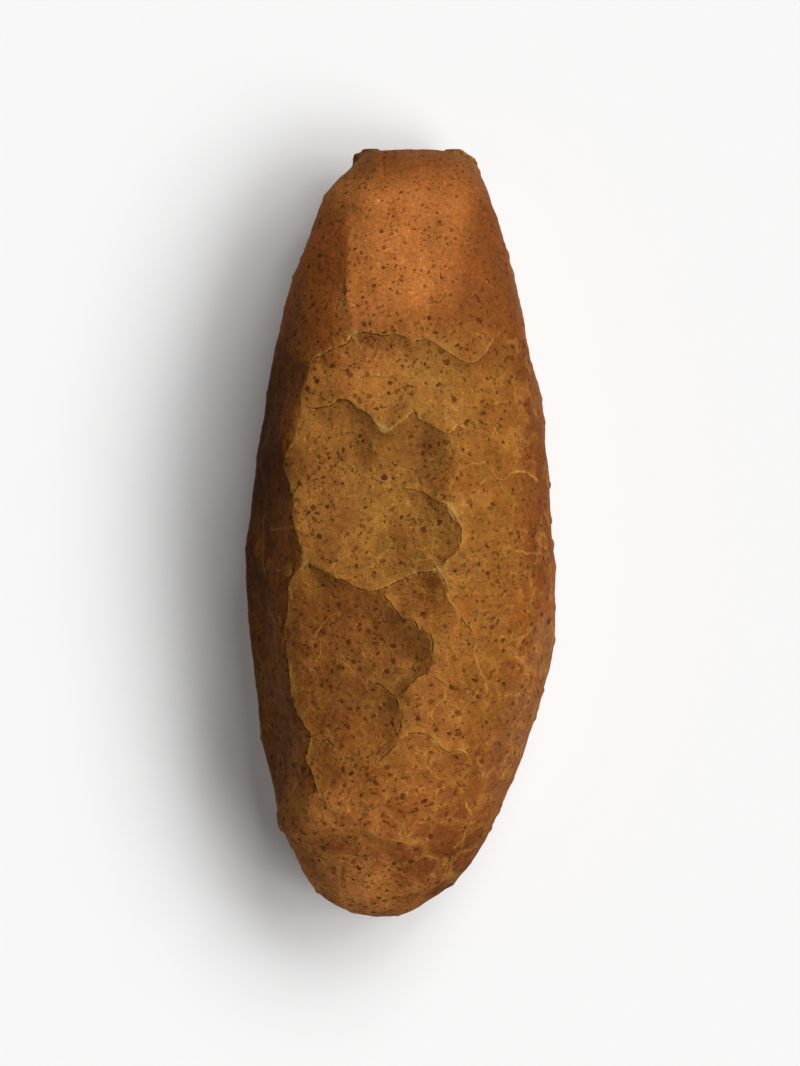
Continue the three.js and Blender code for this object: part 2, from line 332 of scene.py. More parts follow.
# %% [markdown]
# ## The cracks as points on the skin
# The relief below asks each place of the skin for the nearest point of a crack. So each crack becomes a
# curve that bends smoothly through its drawn points. A gape opens the crust most in its middle and fades
# away from there. A boolean cut along each line would leave hard edges that bread never has.


# %% Smooth lines and gapes
def smooth_line(points, step):
    """A curve through the points, as places about one step apart."""
    places = np.array(points, float) * MM
    padded = np.vstack([2 * places[0] - places[1], places, 2 * places[-1] - places[-2]])
    made = []
    for a, b, c, d in zip(padded, padded[1:], padded[2:], padded[3:]):
        count = max(2, int(np.linalg.norm(c - b) / step))
        for t in np.arange(count) / count:
            bend = (2 * a - 5 * b + 4 * c - d) * t * t + (3 * b - a - 3 * c + d) * t ** 3
            made.append(0.5 * (2 * b + (c - a) * t + bend))
    made.append(places[-1])
    return np.array(made)


def gaping(place):
    """How far the crust gapes at a place, from 0 to about 1."""
    x, y = place / MM
    openings = []
    for gape_x, gape_y, reach, wide in GAPES.values():
        away = (x - gape_x) ** 2 + (y - gape_y) ** 2
        openings.append(wide * math.exp(-away / reach ** 2))
    return max(openings)


print("the crust gapes in the middle of the loaf by", round(gaping(np.zeros(2)), 3))

# %% [markdown]
# Each line is then laid down on the solid from above, as a string of points. Each point knows which way its
# sunken plate lies, its cut, its drop, how torn it is, and whether it borders the dark wall. Towards the ends
# of a line cut and drop fade, because a real crack closes slowly.

# %% Crack points
CRACK_STEP = 0.3 * MM
CRACK_FADE = 3.0 * MM
FOLD_FADE = 0.4
LEAST_FADE = 0.15
LINE_TORN = 0.2
ABOVE = 0.2
DOWN = Vector((0, 0, -1))

crack_places = []
crack_notes = {"side": [], "cut": [], "drop": [], "torn": [], "wall": []}
for crack_name, (cut, drop, torn, points) in CRACKS.items():
    line = smooth_line(points, CRACK_STEP)
    ways = np.gradient(line, axis=0)
    ways /= np.linalg.norm(ways, axis=1)[:, None]
    lengths = np.concatenate([[0], np.cumsum(np.linalg.norm(np.diff(line, axis=0), axis=1))])
    fade_reach = CRACK_FADE if cut else FOLD_FADE * lengths[-1]
    to_end = np.minimum(lengths, lengths[-1] - lengths)
    fading = np.clip(to_end / fade_reach, LEAST_FADE, 1)
    for place, way, weaken in zip(line, ways, fading):
        spot = surface.ray_cast(Vector((*place, ABOVE)), DOWN)[0]
        if spot is None:
            continue
        crack_places.append(spot)
        crack_notes["side"].append((-way[1], way[0], 0.0))
        crack_notes["cut"].append(cut * weaken)
        crack_notes["drop"].append(drop * weaken)
        crack_notes["torn"].append(LINE_TORN * torn * weaken + gaping(place))
        crack_notes["wall"].append(float(crack_name in WALL_CRACKS))
print(len(crack_places), "crack points")

# %% [markdown]
# A Geometry Nodes tree can't read Python lists, but it can read a mesh. So the points become a mesh without
# edges or faces, and what they know becomes its attributes.

# %% Crack points as a mesh
crack_mesh = bpy.data.meshes.new("crack_points")
crack_mesh.from_pydata(crack_places, [], [])
for name, values in crack_notes.items():
    kind, key = ("FLOAT_VECTOR", "vector") if name == "side" else ("FLOAT", "value")
    layer = crack_mesh.attributes.new(name, kind, "POINT")
    layer.data.foreach_set(key, np.array(values, np.float32).ravel())
crack_points = mesh_object("crack_points", crack_mesh)
print("each crack point knows", ", ".join(crack_notes))

# %% [markdown]
# ## Finer faces where they are needed
# Only the crust that is seen needs small faces, and the torn ears on the far end need smaller ones. Every
# crack gets a band of small faces, and a deep one gets a second, narrower band. Splitting the faces of a
# region keeps the piece light, where one more Subdivision level all over would make it four times as heavy.

# %% Finer skin
SEEN_HEIGHT = 22 * MM
EAR_START = 118 * MM
EAR_FACE = 128 * MM
EAR_BAND = (9 * MM, 29 * MM)
EAR_MARGIN = 1.5
EARS = ((-12.6, 3.4), (22.6, 4.4))
CRACK_BANDS = ((0.0, 1.5 * MM), (0.45, 0.75 * MM))


def crack_tree(least_cut):
    """The crack points with at least this cut, for asking how near a place is to them."""
    chosen = [place for place, cut in zip(crack_places, crack_notes["cut"]) if cut >= least_cut]
    tree = KDTree(len(chosen))
    for index, place in enumerate(chosen):
        tree.insert(place, index)
    tree.balance()
    return tree


def split_faces(mesh, wanted):
    """Halves every edge of the faces whose middle is wanted."""
    chosen = {edge for face in mesh.faces if wanted(face.calc_center_median()) for edge in face.edges}
    bmesh.ops.subdivide_edges(mesh, edges=list(chosen), cuts=1, use_grid_fill=True)


def seen(middle):
    return middle.z > SEEN_HEIGHT or middle.y > EAR_START


def on_ear(middle):
    beside = any(abs(middle.x / MM - ear_x) < half + EAR_MARGIN for ear_x, half in EARS)
    low, high = EAR_BAND
    return beside and middle.y > EAR_FACE and low < middle.z < high


work = bmesh.new()
work.from_mesh(crust.data)
split_faces(work, seen)
split_faces(work, on_ear)
for least_cut, band in CRACK_BANDS:
    near_cracks = crack_tree(least_cut)
    split_faces(work, lambda middle: near_cracks.find(middle)[2] < band)
bmesh.ops.triangulate(work, faces=work.faces)
work.to_mesh(crust.data)
work.free()
print("fine skin", len(crust.data.polygons), "triangles")

# %% [markdown]
# ## Trees with named inputs
# A Geometry Nodes tree can be built by hand in its editor, but here code builds it. Each tree gets named
# inputs for its sizes, as a tool has knobs, and ends in a plain mesh that wears a material. The inputs are
# set by their identifiers, which stay the same when a name changes. The result is kept as a plain mesh.

# %% A tree with named inputs
GEOMETRY = "NodeSocketGeometry"
FLOAT = "NodeSocketFloat"
INTEGER = "NodeSocketInt"
OBJECT = "NodeSocketObject"
MATERIAL = "NodeSocketMaterial"


def geometry_tree(name, inputs):
    """A Geometry Nodes tree with these named inputs and one geometry output."""
    tree = bpy.data.node_groups.new(name, "GeometryNodeTree")
    tree.interface.new_socket("Geometry", in_out="OUTPUT", socket_type=GEOMETRY)
    for label, kind in {"Geometry": GEOMETRY, **inputs}.items():
        tree.interface.new_socket(label, in_out="INPUT", socket_type=kind)
    nodes = Nodes(tree)
    entry = tree.nodes.new("NodeGroupInput")
    values = {label: Value(nodes, entry.outputs[label]) for label in ["Geometry", *inputs]}
    return tree, nodes, values


def stored(nodes, shape, name, value, domain="POINT"):
    """The shape with a value kept on it as a named attribute."""
    settings = {"data_type": "FLOAT", "domain": domain}
    sockets = {"Geometry": shape, "Name": name, "Value": value}
    return nodes.make("GeometryNodeStoreNamedAttribute", settings, sockets)


def finish_tree(tree, nodes, shape, material):
    """Ends a tree in a smooth mesh that wears the material."""
    shape = nodes.make("GeometryNodeSetShadeSmooth", {}, {0: shape, "Shade Smooth": True})
    shape = nodes.make("GeometryNodeSetMaterial", {}, {0: shape, "Material": material})
    tree.links.new(shape.socket, tree.nodes.new("NodeGroupOutput").inputs[0])


def run_tree(piece, tree, settings):
    """Sets a tree's inputs by their identifiers, runs it on the piece and keeps the result."""
    modifier = piece.modifiers.new(tree.name, "NODES")
    modifier.node_group = tree
    for item in tree.interface.items_tree:
        if item.in_out == "INPUT" and item.name in settings:
            modifier[item.identifier] = settings[item.name]
    work_in_modifiers(piece)


print("tree helpers ready")

# %% [markdown]
# ## Relief of the crust
# A tree follows the skin and moves it along its normals. For every place it finds the nearest crack point
# and reads what that point knows. The place is pushed about by noise first, so that the cracks come out
# ragged. Sculpting by hand would also make such a crust, but the sizes of a tree can be set again.

# %% The relief tree
CRACK_WAVES = ((4.0 * MM, 0.6 * MM), (1.5 * MM, 0.3 * MM))

relief, nodes, given = geometry_tree("crust_relief", {
    "Cracks": OBJECT, "Groove Depth": FLOAT, "Groove Width": FLOAT, "Lip Height": FLOAT, "Lip Reach": FLOAT,
    "Sink Depth": FLOAT, "Sink Reach": FLOAT, "Lump Height": FLOAT, "Nub Height": FLOAT, "Pore Depth": FLOAT,
    "Ear Height": FLOAT, "Crust": MATERIAL})
here = nodes.make("GeometryNodeInputPosition")
outward = nodes.make("GeometryNodeInputNormal")
lines = nodes.make("GeometryNodeObjectInfo", {}, {"Object": given["Cracks"]}, out="Geometry")
probe = nodes.wander(here, *CRACK_WAVES)
nearest = nodes.make("GeometryNodeSampleNearest", {}, {"Geometry": lines, "Sample Position": probe})


def at_crack(kind, value):
    """A value of the nearest crack point."""
    settings = {"data_type": kind, "domain": "POINT"}
    sockets = {"Geometry": lines, "Value": value, "Index": nearest}
    return nodes.make("GeometryNodeSampleIndex", settings, sockets)


def named(kind, name):
    return nodes.make("GeometryNodeInputNamedAttribute", {"data_type": kind}, {"Name": name})


from_crack = nodes.vector("SUBTRACT", probe, at_crack("FLOAT_VECTOR", here))
gap = nodes.vector("LENGTH", from_crack, out="Value")
side = at_crack("FLOAT_VECTOR", named("FLOAT_VECTOR", "side"))
sunken = nodes.vector("DOT_PRODUCT", from_crack, side, out="Value").above(0.0)
cut, drop, torn, wall = (
    at_crack("FLOAT", named("FLOAT", name)) for name in ("cut", "drop", "torn", "wall"))
upward = nodes.part(outward, "Z")
print("relief tree reads", len(relief.nodes), "nodes")

# %% [markdown]
# Beside a crack the skin has three forms: a groove in the line itself, a raised lip on the high plate, and a
# dip on the sunken plate that recovers further off. The step between the plates is blurred a little, because
# baked dough never breaks as sharply as stone.

# %% Heights beside the cracks
STEP_BLUR = 2

steps = gap / given["Groove Width"]
groove = given["Groove Depth"] * (-(steps * steps)).exp()
lip = given["Lip Height"] * (-(gap / given["Lip Reach"])).exp() * (1 - sunken)
slope = gap / given["Sink Reach"]
sink = given["Sink Depth"] * slope * (1 - slope).exp() * sunken
sockets = {"Value": drop * (lip - sink), "Iterations": STEP_BLUR}
step = nodes.make("GeometryNodeBlurAttribute", {"data_type": "FLOAT"}, sockets)
print("groove, lip and dip")

# %% [markdown]
# All over, the crust is lumpy and gritty, with small pores, and steep places carry a few nubs. Each of these
# comes from a noise of its own size. A picture of heights would do the same, but it would need a UV map.

# %% Lumps, pores and nubs
LUMP_SIZE = 7 * MM
GRIT_SIZE = 2.4 * MM
GRIT_SHARE = 0.5
LUMP_LEVEL = 0.55
PORE_WAVE = (5 * MM, 1 * MM)
PORE_SIZE = 2.2 * MM
PORE_LEVELS = (0.6, 0.75)
NUB_SIZE = 7 * MM
NUB_LEVELS = (0.6, 0.78)
NUB_STEEP = (0.6, 0.2)

lumps = given["Lump Height"] * (nodes.noise(here, LUMP_SIZE, 3.0) - LUMP_LEVEL)
grit = given["Lump Height"] * GRIT_SHARE * (nodes.noise(here, GRIT_SIZE, 2.0) - LUMP_LEVEL)
pore_noise = nodes.noise(nodes.wander(here, PORE_WAVE), PORE_SIZE, 1.0)
pores = given["Pore Depth"] * nodes.smooth(pore_noise, *PORE_LEVELS)
nub_noise = nodes.noise(here, NUB_SIZE, 1.0)
nubs = given["Nub Height"] * nodes.smooth(upward, *NUB_STEEP) * nodes.smooth(nub_noise, *NUB_LEVELS)
print("lumps, grit, pores and nubs")

# %% [markdown]
# Low on the far end two ears of crust were torn off their neighbours. Each is a patch of skin between two
# heights, with a ragged outline, that stands out by an uneven amount. Separate flaps would look as torn, but
# the loaf is one piece.

# %% Torn ears
EAR_WAVES = ((7 * MM, 5 * MM), (2.4 * MM, 1.2 * MM))
EAR_RISE = (112 * MM, 126 * MM)
EAR_FOOT = (11 * MM, 15 * MM)
EAR_HEAD = (28 * MM, 24 * MM)
EAR_EDGE = 1.0
RAGGED_SIZE = 2.6 * MM
RAGGED_LEAST = 0.2
RAGGED_GAIN = 1.6

ear_place = nodes.wander(here, *EAR_WAVES)
ear_across = nodes.part(ear_place, "X")
ear_height = nodes.part(ear_place, "Z")
end = nodes.smooth(nodes.part(here, "Y"), *EAR_RISE)
end = end * nodes.smooth(ear_height, *EAR_FOOT) * nodes.smooth(ear_height, *EAR_HEAD)
ears = 0.0
for middle, half in EARS:
    outer = (half + EAR_EDGE) * MM
    inner = (half - EAR_EDGE) * MM
    ears = nodes.smooth(abs(ear_across - middle * MM), outer, inner) + ears
ragged = RAGGED_LEAST + RAGGED_GAIN * nodes.noise(here, RAGGED_SIZE, 3.0)
tears = given["Ear Height"] * end * ears * ragged
print(len(EARS), "torn ears")

# %% [markdown]
# The sum of these heights moves the skin, less and less towards the floor, so that the base stays flat. The
# tree also keeps seven attributes for the material: the gap to the nearest crack in millimetres, which is
# negative on the high plate, four values of that crack, the ears, and how far the skin faces up.

# %% Moving the skin
FLOOR_FADE = (0.5 * MM, 5 * MM)

off_floor = nodes.smooth(nodes.part(here, "Z"), *FLOOR_FADE)
move = off_floor * (lumps + grit + nubs - pores + tears + step - cut * groove)
crust_notes = {
    "crack_gap": gap * (2 * sunken - 1) / MM,
    "crack_cut": cut,
    "crack_drop": drop,
    "crack_torn": torn,
    "crack_wall": wall,
    "ear": end * ears,
    "upward": upward,
}
shape = given["Geometry"]
for name, value in crust_notes.items():
    shape = stored(nodes, shape, name, value)
shift = nodes.vector("SCALE", outward, scale=move)
shape = nodes.make("GeometryNodeSetPosition", {}, {"Geometry": shape, "Offset": shift})
finish_tree(relief, nodes, shape, given["Crust"])
print("relief tree has", len(relief.nodes), "nodes")

# %% [markdown]
# ## Baked crust
# Bran crust is matt, ochre in the middle and more orange towards the ends. It is mottled, veined with
# paler lines where the skin stretched, and full of dark bran. All of it is worked out from Object
# coordinates in millimetres, so the pattern stays on the loaf from every side. A painted picture would
# show one side only. The cracks come from the attributes that the relief kept.

# %% The crust's material
bran_crust = bpy.data.materials.new("bran_crust")
bran_crust.use_nodes = True
bran_crust.node_tree.nodes.clear()
paint = Nodes(bran_crust.node_tree)
metres = paint.make("ShaderNodeTexCoord", out="Object")
place = paint.vector("SCALE", metres, scale=1 / MM)


def kept(name):
    """An attribute that the relief or the flakes kept."""
    return paint.make("ShaderNodeAttribute", {"attribute_name": name}, out="Fac")


def zone(value, *fades):
    """Where a value lies inside its fades. Each goes from a value with none to a value with all."""
    inside = 1.0
    for none, full in fades:
        inside = paint.smooth(value, none, full) * inside
    return inside


def uneven(value, reach, size, detail):
    """A value pushed up and down by noise of this size, by up to half of the reach."""
    return value + reach * (paint.noise(place, size, detail) - 0.5)


def lay(tone, layers):
    """Lays tones over a tone, each with its strength and where it lies."""
    for layer, strength, where in layers:
        tone = paint.mix(tone, layer, strength * where)
    return tone


LOOSE_WAVE = (24, 8)
loose = paint.wander(place, LOOSE_WAVE)
across = paint.part(loose, "X")
along = paint.part(loose, "Y")
height = paint.part(place, "Z")
faces_up = kept("upward")
print("material", bran_crust.name)

# %% [markdown]
# First come the broad tones along the loaf. Each row has a tone, its strength and where it lies: the fades
# are in millimetres along or across the loaf, from where the tone is absent to where it is full. The places
# wander with noise, because no oven browns a loaf along a ruler.

# %% Tones along the loaf
BROWN = colour(143, 86, 36)
OCHRE = colour(148, 100, 42)
ORANGE = colour(176, 106, 50)
FAR_RED = colour(113, 61, 25)
FAR_LEFT = colour(152, 81, 32)
PLATE_BROWN = colour(122, 76, 34)
FLANK_BROWN = colour(121, 75, 27)
NEAR_BROWN = colour(148, 83, 40)
FAR_SLANT = 14

slanted = across + FAR_SLANT * zone(along, (106, 76))
tone = lay(BROWN, (
    (OCHRE, 1.0, zone(along, (-26, -10), (84, 58)) * zone(across, (42, 20))),
    (PLATE_BROWN, 0.8, zone(along, (-74, -58), (-14, -28)) * zone(across, (14, 4))),
    (FLANK_BROWN, 0.85, zone(across, (8, 34))),
    (FAR_RED, 0.9, zone(along, (52, 92))),
    (ORANGE, 1.0, zone(along, (58, 90), (138, 118)) * zone(slanted, (32, 16))),
    (NEAR_BROWN, 0.7, zone(along, (-80, -105))),
    (FAR_LEFT, 0.9, zone(along, (45, 70)) * zone(across, (-18, -23))),
))
print("tones along the loaf")

# %% [markdown]
# The sides browned more than the top. The wall on the left browned like them and is darkened further with
# painted shade, because the light falls from the right. How far the skin faces up tells where the sides
# begin, and the painted shade of the wall reaches up to the cracks that border it. Low down, where the loaf
# stood on its tray, a dull band runs along the sides. Its upper line is uneven, and softer towards the far
# end.

# %% Tones of the sides, and painted shade on the left wall
RIGHT_BROWN = colour(102, 55, 20)
LEFT_HIGH_SHADE = colour(114, 59, 18)
LEFT_LOW_SHADE = colour(85, 51, 23)
DULL_BROWN = colour(124, 80, 45)
BASE_BROWN = colour(104, 64, 28)
BAND_LOW = 34
BAND_RISE = 23
BAND_BLUR = 1.5
BAND_SOFTER = 9

steep = zone(faces_up, (0.7, 0.3)) * zone(along, (90, 60))
shaded_left_wall = steep * zone(across, (-20, -34))
wall_gap = uneven(kept("crack_gap"), 0.5, 1.2, 2.0)
band_top = BAND_LOW + BAND_RISE * zone(along, (-5, -40), (-105, -85)) * zone(across, (0, 20))
band_blur = BAND_BLUR + BAND_SOFTER * zone(along, (-40, -5))
low_band = zone(uneven(height, 16, 9, 3.0) - band_top, (band_blur, -band_blur))
tone = lay(tone, (
    (FLANK_BROWN, 0.9, steep),
    (RIGHT_BROWN, 1.0, zone(faces_up, (0.8, 0.45)) * zone(across, (18, 32)) * zone(along, (-70, -10))),
    # Painted shade: the left wall and the wall side of the cracks that border it are darkened.
    (LEFT_HIGH_SHADE, 0.85, zone(wall_gap, (-0.1, 0.3), (9, 6)) * kept("crack_wall")),
    (LEFT_HIGH_SHADE, 1.0, shaded_left_wall),
    (LEFT_LOW_SHADE, 1.0, shaded_left_wall * zone(uneven(height, 6, 9, 3.0), (49, 40))),
    (DULL_BROWN, 0.8, low_band * zone(across, (-46, -30))),
    (BASE_BROWN, 1.0, zone(faces_up, (-0.3, -0.9))),
))
print("tones of the sides")

# %% [markdown]
# Soft round patches darken or lighten places of the crust. Each has its middle, its two reaches in
# millimetres and its strength. The deep brown ones in the lobes of the crown and on the lower plate are
# painted shade, where these tilt away from the light, and so are the darkest ones on the left wall. The pale
# one on the far shelf and the one low in the middle are painted light, on plates that slope away from the
# light. The others vary the tone.

# %% Patches of tone, painted shade and painted light
SHADE_BROWN = colour(102, 60, 25)
RED_BROWN = colour(134, 69, 25)
RED_DARK = colour(106, 55, 21)
GOLD = colour(172, 117, 50)
PALE = colour(178, 114, 51)
SHELF_LIGHT = colour(181, 112, 53)
LOBE_PALE = colour(166, 102, 49)
LOW_RED = colour(150, 84, 37)
NEAR_PALE = colour(180, 114, 58)
NEAR_DARK = colour(88, 45, 17)
WALL_SHADE = colour(56, 27, 9)
WALL_GREY = colour(113, 70, 36)
NEAR_WALL = colour(126, 77, 39)
EDGE_PALE_AND_BOUNCE = colour(164, 98, 49)
PATCHES = {
    # The deep brown patches of the lobes and of the lower plate are painted shade, where these tilt away from
    # the light.
    "right_lobe": (7, 30, 9, 12, SHADE_BROWN, 0.8),
    "lower_lobe": (1, -5, 14, 14, SHADE_BROWN, 0.5),
    "crown_pale": (-15, 20, 8, 20, GOLD, 0.4),
    "lower_plate": (7, -38, 9, 18, SHADE_BROWN, 0.35),
    "near_right": (20, -115, 19, 18, NEAR_DARK, 0.9),
    "low_right": (34, -86, 14, 18, RED_DARK, 0.6),
    "far_right": (17, 112, 9, 20, FAR_RED, 0.4),
    "left_lobe": (-29, 14, 11, 26, LOBE_PALE, 0.7),
    "lower_left": (-29, -44, 12, 24, LOW_RED, 0.6),
    # Painted light: lightens a sunken plate low in the middle that slopes away from the light.
    "low_middle": (-4, -69, 8, 9, PALE, 0.4),
    "right_low": (43, -50, 8, 18, RED_DARK, 0.5),
    "near_foot": (13, -127, 10, 9, NEAR_DARK, 0.85),
    "far_wall": (-39, 86, 7, 20, WALL_GREY, 0.7),
    "pale_strip": (19, -30, 9, 22, GOLD, 0.25),
    # Painted light: lightens a shelf on the far half that slopes away from the light.
    "far_shelf": (-15, 57, 12, 20, SHELF_LIGHT, 0.9),
    "far_left": (-22, 126, 10, 12, PALE, 0.5),
    "near_left": (-30, -114, 13, 20, NEAR_PALE, 0.8),
    "near_tip": (-19, -129, 16, 10, NEAR_PALE, 0.8),
    "left_rim": (-35, -70, 6, 26, PALE, 0.35),
    # Painted shade: the darkest places of the left wall.
    "wall_shade_high": (-49, 25, 9, 17, WALL_SHADE, 0.75),
    "wall_shade_low": (-53, -12, 6, 12, WALL_SHADE, 0.45),
    "left_shoulder": (-29, 62, 6, 14, RED_DARK, 0.45),
    "left_near": (-44, -62, 10, 28, NEAR_WALL, 0.85),
    "left_bulge": (-37, -95, 8, 13, PALE, 0.35),
    "near_plate": (-23.5, -113.5, 7, 4.5, RED_DARK, 0.7),
}

for x, y, wide, long, patch_tone, strength in PATCHES.values():
    off_x = (across - x) / wide
    off_y = (along - y) / long
    spread = (-(off_x * off_x + off_y * off_y)).exp()
    tone = paint.mix(tone, patch_tone, strength * spread)
# Painted light, in part: an orange strip low on the left wall, where it turns under, is paler crust near the
# base and also stands for light thrown back up by the floor.
bounce_clouds = zone(paint.noise(place, 8, 3.0), (0.3, 0.65))
bounce_strip = zone(faces_up, (0.32, -0.15)) * zone(across, (-14, -22))
tone = paint.mix(tone, EDGE_PALE_AND_BOUNCE, bounce_strip * (0.55 + 0.3 * bounce_clouds))
print(len(PATCHES), "patches")

# %% [markdown]
# Between the broad tones the crust is cloudy: redder here, darker or paler there. Noises of several sizes
# give these clouds. The dark wall has its own, because there the clouds only lighten and darken.

# %% Mottling
CLOUD_WAVE = (9, 3)

clouds = paint.noise(paint.wander(place, CLOUD_WAVE), 8, 3.0)
fine = paint.noise(place, 1.5, 3.0)
speckle = paint.noise(place, 0.7, 1.0)
off_wall = 1 - shaded_left_wall
tone = paint.vector("SCALE", tone, scale=uneven(1, 1.5 * shaded_left_wall, 4.5, 3.0))
tone = lay(tone, (
    (RED_BROWN, 0.4, zone(paint.noise(place, 11, 3.0), (0.5, 0.7)) * off_wall),
    (RED_DARK, 0.4, zone(clouds, (0.5, 0.75)) * zone(along, (95, 70))),
    (GOLD, 0.3, zone(clouds, (0.48, 0.3)) * zone(along, (90, 60)) * off_wall),
))
print("mottling")

# %% [markdown]
# The skin of the near half wrinkled into small plates. A Voronoi texture gives such plates: its distance to
# the edge draws the creases between them, and the chance colour of each cell tells which plates are darker.
# Short hairlines come from a noise, at the places where it passes its middle value.

# %% Small plates and hairlines
PLATE_SIZE = 12
PLATE_WARP = 4.0
FINE_WAVE = (2.2, 0.7)
THREAD_EDGE = 0.035
THREAD_LEVELS = (0.5, 0.6)
THREAD_BREAKS = 1.1


def plates(size, warp):
    """Small plates of about this size: the distance to their nearest border, and a chance value for each."""
    sockets = {"Vector": paint.wander(place, (size, warp), FINE_WAVE), "Scale": 1.0 / size}
    edge = paint.make("ShaderNodeTexVoronoi", {"feature": "DISTANCE_TO_EDGE"}, sockets, out="Distance")
    cell = paint.make("ShaderNodeTexVoronoi", {"feature": "F1"}, sockets, out="Color")
    return edge * size, paint.part(cell, "X")


def threads(size, shift):
    """Short hairlines: where a noise of this size passes its middle, broken up by a second noise."""
    where = paint.vector("ADD", place, (shift, shift, shift))
    thin = paint.smooth(abs(paint.noise(where, size, 1.0) - 0.5), THREAD_EDGE, 0.0)
    return thin * paint.smooth(paint.noise(where, THREAD_BREAKS * size, 2.0), *THREAD_LEVELS)


crease_gap, plate_chance = plates(PLATE_SIZE, PLATE_WARP)
pale_hairs = threads(2.6, 0)
dark_hairs = threads(2.2, 30)
print("plates of", PLATE_SIZE, "mm")

# %% [markdown]
# The creases come in patches. They are thickest on the near end, fade towards the far end, sooner on the
# right side, and leave out the dark wall. In some patches they are pale, because the skin stretched thin,
# and in others dark. A pattern that is the same everywhere would look printed.

# %% Creases
CRACK_DARK = colour(60, 34, 14)
CREASED_PATCH = 13
HAIRED_PATCH = 6
RIGHT_LEAD = 40
NEAR_CREASED = 0.8
PALE_HAIR = 0.5
DARK_HAIR = 0.35

lead = RIGHT_LEAD * zone(across, (14, 26))
near_end = NEAR_CREASED * zone(along, (-88, -104))
creased = zone(paint.noise(place, CREASED_PATCH, 2.0), (0.4, 0.6)) * zone(along + lead, (60, 0))
creased = creased + near_end * (1 - creased)
creased = creased * off_wall * zone(faces_up, (0.0, 0.6))
haired = zone(paint.noise(place, HAIRED_PATCH, 2.0), (0.42, 0.6))
creases = zone(crease_gap, (0.5, 0.1)) * creased * haired
tone = lay(tone, (
    (RED_DARK, 0.32, creased * zone(plate_chance, (0.45, 0.8)) * zone(crease_gap, (0.3, 2.5))),
    (GOLD, 1.0, 0.25 * zone(crease_gap, (2.0, 0.2)) * creased + 0.3 * creases),
))
tone = paint.vector("SCALE", tone, scale=1 + PALE_HAIR * pale_hairs - DARK_HAIR * dark_hairs)
tone = paint.mix(tone, CRACK_DARK, 0.5 * zone(crease_gap, (0.2, 0.05)) * creased * (1 - haired))
print("creases")

# %% [markdown]
# Most bran lies as separate flakes in the crust, which come later. The finest of it is painted here: soft
# dark spots where a noise peaks. The flakes wear this material too. Their bran value is 1 in the middle and
# 0 on the rim, and noise eats into it, so that no two flakes have the same outline. A fine grain of light
# and dark lies over everything.

# %% Bran in the crust
BRAN_DARK = colour(60, 30, 13)
BRAN_EDGE = 0.09
FLECK_LEVELS = (0.15, 0.6)
FLECK_RIM = (0.0, 0.2)
DUST_LEVELS = (0.62, 0.74)
GRAIN_FROM = (0.3, 0.7)
GRAIN_TO = (0.72, 1.22)


def bran(size, least, stretch, shift):
    """Soft, uneven dark spots: the peaks of a noise of this size that stand above the least level."""
    where = paint.vector("ADD", paint.vector("MULTIPLY", place, stretch), (shift, shift, shift))
    return paint.smooth(paint.noise(where, size, 1.5), least, least + BRAN_EDGE)


bits = bran(1.5, 0.62, (0.75, 1.0, 0.9), 40)
dots = bran(0.75, 0.65, (1.0, 1.0, 1.0), 80)
clumps = bran(3.0, 0.7, (0.8, 1.0, 0.9), 120)
flecks = paint.smooth(uneven(kept("bran"), 0.8, 0.9, 2.0), *FLECK_LEVELS)
flecks = flecks * paint.smooth(kept("bran"), *FLECK_RIM) * kept("strength")
for spots, strength in ((bits, 0.5), (dots, 0.45), (clumps, 0.7), (flecks, 0.82)):
    tone = paint.mix(tone, BRAN_DARK, strength * spots)
grain = paint.make("ShaderNodeMapRange", {}, {
    0: 0.6 * fine + 0.4 * speckle, 1: GRAIN_FROM[0], 2: GRAIN_FROM[1], 3: GRAIN_TO[0], 4: GRAIN_TO[1]})
dust = paint.smooth(paint.noise(place, 0.55, 1.0), *DUST_LEVELS)
tone = paint.vector("SCALE", tone, scale=grain * (1 + 0.3 * dust))
print("bran flecks")

# %% [markdown]
# On the high side of a crack runs a golden rim where the crust is thin, and beside the deeper cracks a wider
# golden band. The sunken side is darkened with painted shade, more where its plate drops further. All of it
# follows the gap that the relief kept, made uneven by noise. Rims painted by hand would have to be painted
# again whenever a line moves.

# %% Rims and bands of the cracks
MARKED_CUT = (0.05, 0.3)
DEEP_CUT = (0.35, 0.8)

gap = uneven(kept("crack_gap"), 0.4, 0.9, 1.0)
torn = kept("crack_torn")
frayed = zone(paint.noise(place, 4.5, 2.0) + 0.2 * torn, (0.4, 0.62))
marked = zone(kept("crack_cut"), MARKED_CUT)
deep = zone(kept("crack_cut"), DEEP_CUT) * zone(along, (72, 50))
glow = zone(uneven(gap, 4, 4, 2.0), (-4.5, -0.5)) * zone(gap, (0.4, -0.2)) * deep
rim = zone(uneven(gap, 1.2, 1.6, 2.0), (-1.0, -0.1), (0.5, -0.1)) * marked
tone = lay(tone, (
    # Painted shade on the sunken side of each crack.
    (SHADE_BROWN, 0.3, zone(gap, (-0.3, 0.4), (8.0, 1.0)) * kept("crack_drop")),
    (GOLD, 1.0, (0.15 + 0.3 * frayed) * glow),
    (GOLD, 1.0, (0.25 + 0.5 * frayed + 0.3 * kept("crack_wall") + 2.5 * torn) * rim),
))
print("rims and bands")

# %% [markdown]
# Where a crack tore open, pale crumb shows on its lip. The crack itself is a dark line. It is broken here and
# there, fainter where the cut is shallow, and fainter again where it tore, because crumb is bright.

# %% Crumb and dark lines of the cracks
TORN_CRUMB = colour(178, 142, 80)
LINE_CUT = (0.1, 0.9)
LINE_WIDTH = (0.42, 0.1)

